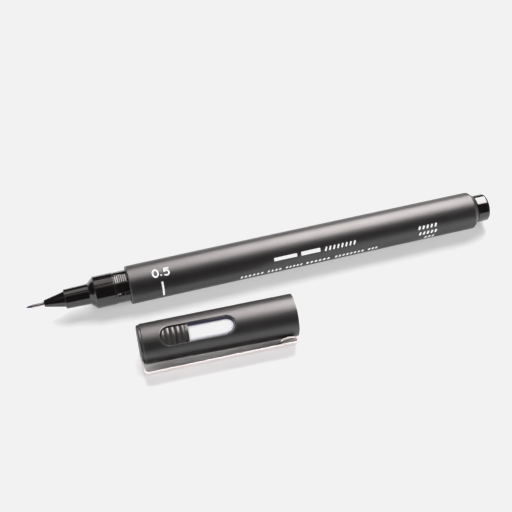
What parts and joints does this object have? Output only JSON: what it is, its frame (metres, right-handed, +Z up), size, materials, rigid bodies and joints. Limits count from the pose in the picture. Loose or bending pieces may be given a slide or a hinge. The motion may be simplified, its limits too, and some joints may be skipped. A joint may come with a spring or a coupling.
{
  "type": "technical pen",
  "caption": "Fine-line technical pen with a steel-sleeved nib, stepped grip, round matte barrel and tail plug, lying beside its clip cap with a clear window.",
  "frame": {"origin": "bottom centre of the bounding box of the pen and its cap, on the surface they lie on", "axes": "+X along the pen from nib to tail, +Y from the cap towards the pen, +Z up"},
  "size_m": [0.1336, 0.036, 0.0114],
  "materials": {
    "charcoal_plastic": "fine satin grain",
    "gloss_black": "polished moulding",
    "crown_plastic": "semi-matte moulding",
    "sleeve_steel": "drawn tube",
    "clip_steel": "nickel-plated spring steel",
    "nib_fibre": "ink-wet fibre",
    "wick_fibre": "ink-soaked porous rod",
    "reservoir_fibre": "ink-soaked fibre",
    "film": "thin wrap",
    "liner_white": "translucent moulding",
    "clear_plastic": "polished clear"
  },
  "bodies": {
    "pen": {"barrel": "charcoal_plastic", "tail_plug": "gloss_black", "front_section": "gloss_black", "nose_cone": "gloss_black", "nib_sleeve": "sleeve_steel", "nib": "nib_fibre", "feed_wick": "wick_fibre", "ink_reservoir": "reservoir_fibre", "reservoir_film": "film"},
    "cap": {"cap_shell": "charcoal_plastic", "cap_crown": "crown_plastic", "inner_cap": "liner_white", "window_lens": "clear_plastic"},
    "clip": {"clip": "clip_steel"}
  },
  "joints": [
    {"name": "cap_slide", "type": "slide", "parent": "pen", "child": "cap", "axis": [-0.999, 0.0436, 0], "range_m": [0, 0.068]},
    {"name": "clip_flex", "type": "hinge", "parent": "cap", "child": "clip", "pos_m": [-0.04053, -0.01132, 0.00417], "axis": [0.0205, 0.469, -0.8829], "range_deg": [0, 4], "stiffness_Nm_per_rad": 1.5}
  ]
}
